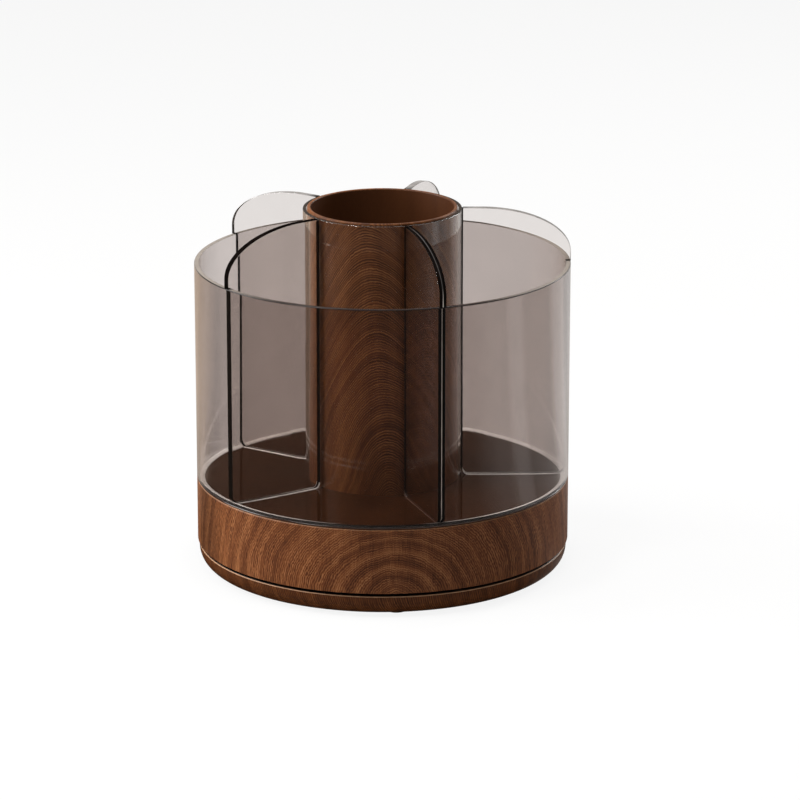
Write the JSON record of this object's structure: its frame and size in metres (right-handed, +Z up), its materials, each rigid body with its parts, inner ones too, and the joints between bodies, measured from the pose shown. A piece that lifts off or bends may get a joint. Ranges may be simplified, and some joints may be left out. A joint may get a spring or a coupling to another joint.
{
  "type": "rotating desk organizer",
  "caption": "Round turntable desk organizer: wooden foot plate and drum, smoked clear tray with radial dividers, and a wooden pen cup in its middle.",
  "frame": {"origin": "centre of the foot plate at the level of the desk that the rubber feet stand on", "axes": "+Z up along the turning axis; +X along divider 1"},
  "size_m": [0.16, 0.16, 0.1568],
  "materials": {
    "walnut": "satin lacquer, dark reddish walnut",
    "plywood": "raw board",
    "smoked_acrylic": "clear, brown-grey smoke tint, polished",
    "dark_acrylic": "polished, near black brown",
    "race_steel": "turned",
    "ball_steel": "polished",
    "zinc_steel": "zinc plated",
    "nylon": "natural",
    "foot_rubber": "matt"
  },
  "bodies": {
    "base": {"base_plate": "walnut", "foot_1": "foot_rubber", "foot_2": "foot_rubber", "foot_3": "foot_rubber", "foot_4": "foot_rubber", "lower_race": "race_steel", "lower_race_screws": "zinc_steel", "spindle_bolt": "zinc_steel", "spindle_washer": "zinc_steel", "spindle_nut": "zinc_steel"},
    "bearing_cage": {"ball_cage": "nylon", "bearing_balls": "ball_steel"},
    "turntable": {"upper_race": "race_steel", "upper_race_screws": "zinc_steel", "spindle_bushing": "nylon", "turntable_deck": "plywood", "drum_ring": "walnut", "tray_floor": "dark_acrylic", "outer_wall": "smoked_acrylic", "inner_tube": "smoked_acrylic", "divider_1": "smoked_acrylic", "divider_2": "smoked_acrylic", "divider_3": "smoked_acrylic", "divider_4": "smoked_acrylic", "divider_5": "smoked_acrylic"},
    "pen_cup": {"pen_cup_tube": "walnut", "pen_cup_base": "walnut"}
  },
  "joints": [
    {"name": "turntable_spin", "type": "hinge", "parent": "base", "child": "turntable", "pos_m": [0, 0, 0.0107], "axis": [0, 0, 1], "continuous": true},
    {"name": "cage_spin", "type": "hinge", "parent": "base", "child": "bearing_cage", "pos_m": [0, 0, 0.0107], "axis": [0, 0, 1], "continuous": true},
    {"name": "cup_lift", "type": "slide", "parent": "turntable", "child": "pen_cup", "axis": [0, 0, 1], "range_m": [0, 0.12]}
  ],
  "couplings": [
    {"joint": "cage_spin", "follows": "turntable_spin", "ratio": 0.5}
  ]
}
